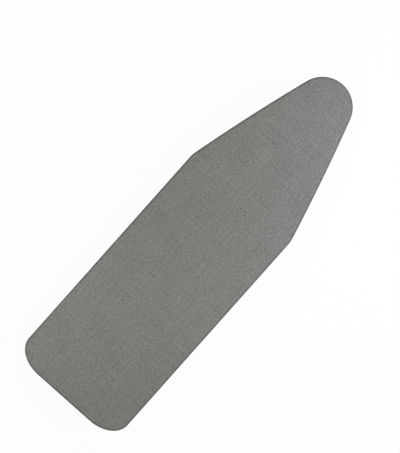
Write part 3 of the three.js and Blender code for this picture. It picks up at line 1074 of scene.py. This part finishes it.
def strap_seams(body, x, half):
    """Crossed boxes of stitches at both roots of the strap, and a plain one round its hook patch."""
    sewn_low, sewn_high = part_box(f"{body}_sewn_end")
    web_low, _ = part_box(f"{body}_webbing")
    hook_low, hook_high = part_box(f"{body}_hook_patch")
    _, tab_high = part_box(f"{body}_loop_tab")
    left, right = x - (half - SEAM_BORDER), x + (half - SEAM_BORDER)
    z = web_low.z
    sewn = box_path(left, sewn_low.y + SEAM_BORDER, right, sewn_high.y - SEAM_BORDER, z, True)
    sewn += box_path(left, tab_bend(body) + TAB_SEAM_GAP, right, tab_high.y - SEAM_BORDER, z, True)
    thread(f"{body}_root_thread", [(p, DOWN) for p in sewn], DARK_THREAD, "webbing", "cover")
    patch = box_path(hook_low.x + PATCH_SEAM, hook_low.y + PATCH_SEAM,
                     hook_high.x - PATCH_SEAM, hook_high.y - PATCH_SEAM, z, False)
    thread(f"{body}_patch_thread", [(p, DOWN) for p in patch], DARK_THREAD, "webbing", body)


def strap(place):
    """One strap with its hook patch, and the loop tab that it closes against."""
    body = f"strap_{place}"
    web_low, web_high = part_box(f"{body}_webbing")
    x = (web_low.x + web_high.x) / 2
    half = (web_high.x - web_low.x) / 2
    thickness = web_high.z - web_low.z
    middle = web_low.z + thickness / 2
    strap_band(body, x, half, thickness, middle)
    hook_patch(body)
    loop_tab(body, x, half, thickness, middle)
    loop_patch(body, thickness)
    strap_seams(body, x, half)


FOAM_TOP = FOAM_HIGH.z - EDGE_SOFTNESS - UNEVEN
foam = pad("foam_pad", "foam_layer", FOAM_LOW.z, FOAM_TOP, FOAM_SLOPE, FOAM, "foam", 0)
felt = pad("felt_layer", "felt_pad", FELT_LOW.z, FELT_HIGH.z, FELT_SLOPE, FELT, "felt", FELT_BULGE)
face = face_cloth()
hem = [hem_tape(), hem_elastic(), hem_thread()]
for ring_piece in hem[:2]:
    turn_outward(ring_piece)
for strap_place in ("tail", "middle", "nose"):
    strap(strap_place)

# Floor, far enough below for a strap to hang straight down
STRAP_HANG = 0.26
FLOOR_CLEARANCE = 0.05
FLOOR_Z = -STRAP_HANG - FLOOR_CLEARANCE
FLOOR_HALF = 60.0
FLOOR_BOUNCE = 0.35
FLOOR_GLOW = 0.93


def seen_directly(tree):
    """1 for rays from the camera, or by way of gloss or glass; 0 for light on the object."""
    path = tree.nodes.new("ShaderNodeLightPath").outputs
    gloss = math_node(tree, "MAXIMUM", path["Is Glossy Ray"], path["Is Transmission Ray"])
    return math_node(tree, "MAXIMUM", path["Is Camera Ray"], gloss)


def floor_material():
    """Pale, white where it is seen and lit, with the object's shadow on it, and clear from below."""
    made = bpy.data.materials.new("pale_floor")
    made.use_nodes = True
    tree = made.node_tree
    tree.nodes.clear()
    diffuse = tree.nodes.new("ShaderNodeBsdfDiffuse")
    seen = seen_directly(tree)
    tone = tree.nodes.new("ShaderNodeMapRange")
    tone.inputs["To Min"].default_value = FLOOR_BOUNCE
    tone.inputs["To Max"].default_value = 1 - FLOOR_GLOW
    tree.links.new(seen, tone.inputs["Value"])
    tree.links.new(tone.outputs["Result"], diffuse.inputs["Color"])
    glow = tree.nodes.new("ShaderNodeEmission")
    tree.links.new(math_node(tree, "MULTIPLY", seen, FLOOR_GLOW), glow.inputs["Strength"])
    lit = tree.nodes.new("ShaderNodeAddShader")
    tree.links.new(diffuse.outputs[0], lit.inputs[0])
    tree.links.new(glow.outputs[0], lit.inputs[1])
    clear = tree.nodes.new("ShaderNodeBsdfTransparent")
    side = tree.nodes.new("ShaderNodeMixShader")
    tree.links.new(tree.nodes.new("ShaderNodeNewGeometry").outputs["Backfacing"], side.inputs[0])
    tree.links.new(lit.outputs[0], side.inputs[1])
    tree.links.new(clear.outputs[0], side.inputs[2])
    out = tree.nodes.new("ShaderNodeOutputMaterial")
    tree.links.new(side.outputs[0], out.inputs["Surface"])
    return made


def floor():
    """A wide square below the cover."""
    corners = [(FLOOR_HALF * x, FLOOR_HALF * y, FLOOR_Z) for x, y in SQUARE]
    mesh = bpy.data.meshes.new("floor")
    mesh.from_pydata(corners, [], [(0, 1, 2, 3)])
    mesh.materials.append(floor_material())
    plane = bpy.data.objects.new("floor", mesh)
    bpy.context.scene.collection.objects.link(plane)


# Light; each soft box has a power, a place and a colour
ZENITH_LIGHT = 0.45
HORIZON_LIGHT = 0.06
SUN_LIGHT = 1.36
SUN_ANGLE = math.radians(50)
SUN_TILT = (math.radians(6), math.radians(8), 0)
SOFTBOX_SIZE = 0.3
PLAIN_WHITE = (1.0, 1.0, 1.0)
COOL_WHITE = (0.95, 0.82, 1.0)
SOFTBOXES = {
    "nose_softbox": (2.0, (0.58, -0.29, 0.6), COOL_WHITE),
    "side_softbox": (0.33, (-0.06, -0.3, 0.42), COOL_WHITE),
    "tail_softbox": (0.41, (-0.4, 0.3, 0.43), PLAIN_WHITE),
}
STRIP_POWER = 1.6
STRIP_SIZE = (1.0, 0.08)
STRIP_PLACE = (-0.05, 0.08, FLOOR_Z + 0.02)
FACING_UP = (math.pi, 0, 0)


def dome():
    """A world that is brightest overhead for the object, and white where it is seen."""
    world = bpy.data.worlds.new("studio")
    bpy.context.scene.world = world
    world.use_nodes = True
    tree = world.node_tree
    back = tree.nodes["Background"]
    back.inputs["Color"].default_value = (*PLAIN_WHITE, 1)
    way = tree.nodes.new("ShaderNodeSeparateXYZ")
    tree.links.new(tree.nodes.new("ShaderNodeTexCoord").outputs["Generated"], way.inputs[0])
    rise = tree.nodes.new("ShaderNodeMapRange")
    rise.inputs["To Min"].default_value = HORIZON_LIGHT
    rise.inputs["To Max"].default_value = ZENITH_LIGHT
    tree.links.new(way.outputs["Z"], rise.inputs["Value"])
    shown = math_node(tree, "MAXIMUM", rise.outputs["Result"], seen_directly(tree))
    tree.links.new(shown, back.inputs["Strength"])


def lamp(name, kind, power):
    """A new lamp that the camera doesn't see, and its data; an area lamp shines down until turned."""
    data = bpy.data.lights.new(name, kind)
    data.energy = power
    made = bpy.data.objects.new(name, data)
    made.visible_camera = False
    bpy.context.scene.collection.objects.link(made)
    return made, data


def lamps():
    """A soft sun, soft boxes over the edges and a strip below."""
    sun, data = lamp("soft_overhead", "SUN", SUN_LIGHT)
    data.angle = SUN_ANGLE
    sun.rotation_euler = SUN_TILT
    for name, (power, place, colour) in SOFTBOXES.items():
        box, data = lamp(name, "AREA", power)
        data.size = SOFTBOX_SIZE
        data.color = colour
        box.location = place
    strip, data = lamp("underside_strip", "AREA", STRIP_POWER)
    data.shape = "RECTANGLE"
    data.size, data.size_y = STRIP_SIZE
    strip.location = STRIP_PLACE
    strip.rotation_euler = FACING_UP


# Camera straight above, turned so that the nose points to the upper right
FRAME_HEIGHT = 453
METRES_PER_PIXEL = 2.7765 * MM
SENSOR = 36.0
CAMERA_HEIGHT = 12.0
CAMERA_TURN = math.radians(-48.34)
RIGHT_BY, DOWN_BY = 3.25, 14.6
CLIP_END = 200


def camera():
    """A long lens far above; the cover's middle lies some pixels right of the picture's, and down."""
    data = bpy.data.cameras.new("camera")
    data.sensor_fit = "AUTO"
    data.sensor_width = SENSOR
    data.lens = SENSOR * CAMERA_HEIGHT / (FRAME_HEIGHT * METRES_PER_PIXEL)
    data.clip_end = CLIP_END
    made = bpy.data.objects.new("camera", data)
    right = np.array([math.cos(CAMERA_TURN), math.sin(CAMERA_TURN)])
    up = np.array([-right[1], right[0]])
    middle = (DOWN_BY * up - RIGHT_BY * right) * METRES_PER_PIXEL
    made.location = (*middle, FACE_TOP + CAMERA_HEIGHT)
    made.rotation_euler = (0, 0, CAMERA_TURN)
    bpy.context.scene.collection.objects.link(made)
    bpy.context.scene.camera = made


floor()
dome()
lamps()
camera()
bpy.context.scene.view_settings.view_transform = "Standard"
